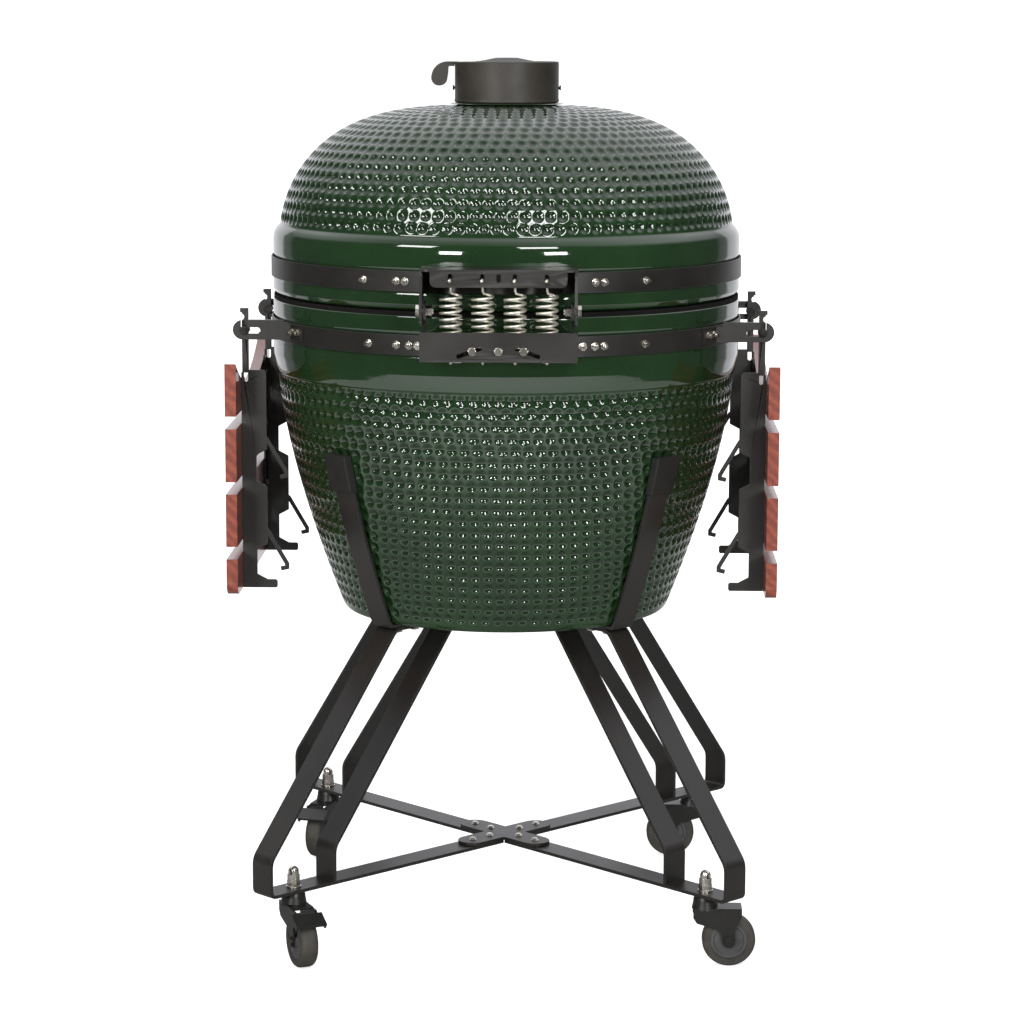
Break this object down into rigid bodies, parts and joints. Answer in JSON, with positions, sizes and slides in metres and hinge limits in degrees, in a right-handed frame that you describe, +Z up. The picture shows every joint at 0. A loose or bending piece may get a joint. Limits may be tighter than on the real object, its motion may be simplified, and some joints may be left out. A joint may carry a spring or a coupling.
{
  "type": "kamado ceramic grill",
  "caption": "Egg-shaped ceramic charcoal grill with a sprung lid hinge, a vent cap and a draft door, on a flat-bar caster cart with folding wooden side shelves.",
  "frame": {"origin": "on the floor, under the vertical axis of the ceramic", "axes": "+Z up, -Y towards the lid hinge, +Y towards the handle and the draft door, +X to the right when looking along +Y"},
  "size_m": [0.784, 0.822, 1.2765],
  "materials": {
    "green_glaze": "gloss",
    "inner_ceramic": "matt",
    "grate_iron": "matt",
    "grate_steel": "satin",
    "felt": "matt",
    "black_powder": "satin",
    "zinc": "bright zinc",
    "spring_zinc": "zinc plated",
    "cap_iron": "matt",
    "dark_screw": "satin",
    "stainless": "satin",
    "dial_face": "matt",
    "shelf_wood": "oiled",
    "pad_rubber": "matt",
    "caster_black": "satin",
    "hub_grey": "matt",
    "tyre_rubber": "matt"
  },
  "bodies": {
    "cart": {"ceramic_base": "green_glaze", "firebox": "inner_ceramic", "fire_ring": "inner_ceramic", "charcoal_grate": "grate_iron", "cooking_grate": "grate_steel", "base_gasket": "felt", "base_band": "black_powder", "base_band_bolts": "zinc", "hinge_lower_bracket": "black_powder", "hinge_pivot_bolts": "zinc", "hinge_springs": "spring_zinc", "hinge_box_bolts": "zinc", "shelf_arms": "black_powder", "shelf_arm_bolts": "zinc", "draft_frame": "stainless", "legs": "black_powder", "cradle_arms": "black_powder", "cradle_pads": "pad_rubber", "cradle_bolts": "zinc", "cross_plate": "black_powder", "cross_plate_screws": "zinc", "caster_stems": "caster_black", "caster_nuts": "zinc"},
    "lid": {"ceramic_lid": "green_glaze", "lid_gasket": "felt", "lid_band": "black_powder", "lid_band_bolts": "zinc", "hinge_upper_bracket": "black_powder", "cap_body": "cap_iron", "cap_screws": "dark_screw", "damper_rivet": "cap_iron", "thermometer_case": "stainless", "thermometer_dial": "dial_face", "handle_grip": "shelf_wood", "handle_posts": "black_powder"},
    "damper": {"damper_disc": "cap_iron"},
    "draft_door": {"draft_door": "stainless"},
    "right_carriage": {"right_pins": "dark_screw"},
    "right_shelf": {"right_boards": "shelf_wood", "right_brackets": "black_powder", "right_screws": "zinc"},
    "left_carriage": {"left_pins": "dark_screw"},
    "left_shelf": {"left_boards": "shelf_wood", "left_brackets": "black_powder", "left_screws": "zinc"},
    "caster_fl": {"fork_fl": "caster_black"},
    "wheel_fl": {"hub_fl": "hub_grey", "tyre_fl": "tyre_rubber"},
    "caster_fr": {"fork_fr": "caster_black"},
    "wheel_fr": {"hub_fr": "hub_grey", "tyre_fr": "tyre_rubber"},
    "caster_rl": {"fork_rl": "caster_black"},
    "wheel_rl": {"hub_rl": "hub_grey", "tyre_rl": "tyre_rubber"},
    "caster_rr": {"fork_rr": "caster_black"},
    "wheel_rr": {"hub_rr": "hub_grey", "tyre_rr": "tyre_rubber"},
    "brake_fl": {"pedal_fl": "caster_black"},
    "brake_rl": {"pedal_rl": "caster_black"}
  },
  "joints": [
    {"name": "lid_hinge", "type": "hinge", "parent": "cart", "child": "lid", "pos_m": [0, -0.392, 0.941], "axis": [1, 0, 0], "range_deg": [0, 75], "deforming": ["hinge_springs"]},
    {"name": "damper_turn", "type": "hinge", "parent": "lid", "child": "damper", "pos_m": [0, 0, 1.27], "axis": [0, 0, 1], "range_deg": [-45, 0]},
    {"name": "draft_slide", "type": "slide", "parent": "cart", "child": "draft_door", "axis": [1, 0, 0], "range_m": [0, 0.11]},
    {"name": "right_shelf_slide", "type": "slide", "parent": "cart", "child": "right_carriage", "axis": [-1, 0, 0], "range_m": [0, 0.018]},
    {"name": "right_shelf_fold", "type": "hinge", "parent": "right_carriage", "child": "right_shelf", "pos_m": [0.3695, 0, 0.892], "axis": [0, -1, 0], "range_deg": [0, 90]},
    {"name": "left_shelf_slide", "type": "slide", "parent": "cart", "child": "left_carriage", "axis": [1, 0, 0], "range_m": [0, 0.018]},
    {"name": "left_shelf_fold", "type": "hinge", "parent": "left_carriage", "child": "left_shelf", "pos_m": [-0.3695, 0, 0.892], "axis": [0, 1, 0], "range_deg": [0, 90]},
    {"name": "swivel_fl", "type": "hinge", "parent": "cart", "child": "caster_fl", "pos_m": [-0.29345, -0.29345, 0.09], "axis": [0, 0, 1], "continuous": true},
    {"name": "spin_fl", "type": "hinge", "parent": "caster_fl", "child": "wheel_fl", "pos_m": [-0.27908, -0.32426, 0.038], "axis": [0.9063, 0.4226, 0], "continuous": true},
    {"name": "brake_fl", "type": "hinge", "parent": "caster_fl", "child": "brake_fl", "pos_m": [-0.27359, -0.33605, 0.079], "axis": [0.9063, 0.4226, 0], "range_deg": [0, 12]},
    {"name": "swivel_fr", "type": "hinge", "parent": "cart", "child": "caster_fr", "pos_m": [0.29345, -0.29345, 0.09], "axis": [0, 0, 1], "continuous": true},
    {"name": "spin_fr", "type": "hinge", "parent": "caster_fr", "child": "wheel_fr", "pos_m": [0.32745, -0.29345, 0.038], "axis": [0, 1, 0], "continuous": true},
    {"name": "swivel_rl", "type": "hinge", "parent": "cart", "child": "caster_rl", "pos_m": [-0.29345, 0.29345, 0.09], "axis": [0, 0, 1], "continuous": true},
    {"name": "spin_rl", "type": "hinge", "parent": "caster_rl", "child": "wheel_rl", "pos_m": [-0.30339, 0.26094, 0.038], "axis": [0.9563, -0.2924, 0], "continuous": true},
    {"name": "brake_rl", "type": "hinge", "parent": "caster_rl", "child": "brake_rl", "pos_m": [-0.30719, 0.2485, 0.079], "axis": [0.9563, -0.2924, 0], "range_deg": [0, 12]},
    {"name": "swivel_rr", "type": "hinge", "parent": "cart", "child": "caster_rr", "pos_m": [0.29345, 0.29345, 0.09], "axis": [0, 0, 1], "continuous": true},
    {"name": "spin_rr", "type": "hinge", "parent": "caster_rr", "child": "wheel_rr", "pos_m": [0.25945, 0.29345, 0.038], "axis": [0, -1, 0], "continuous": true}
  ]
}
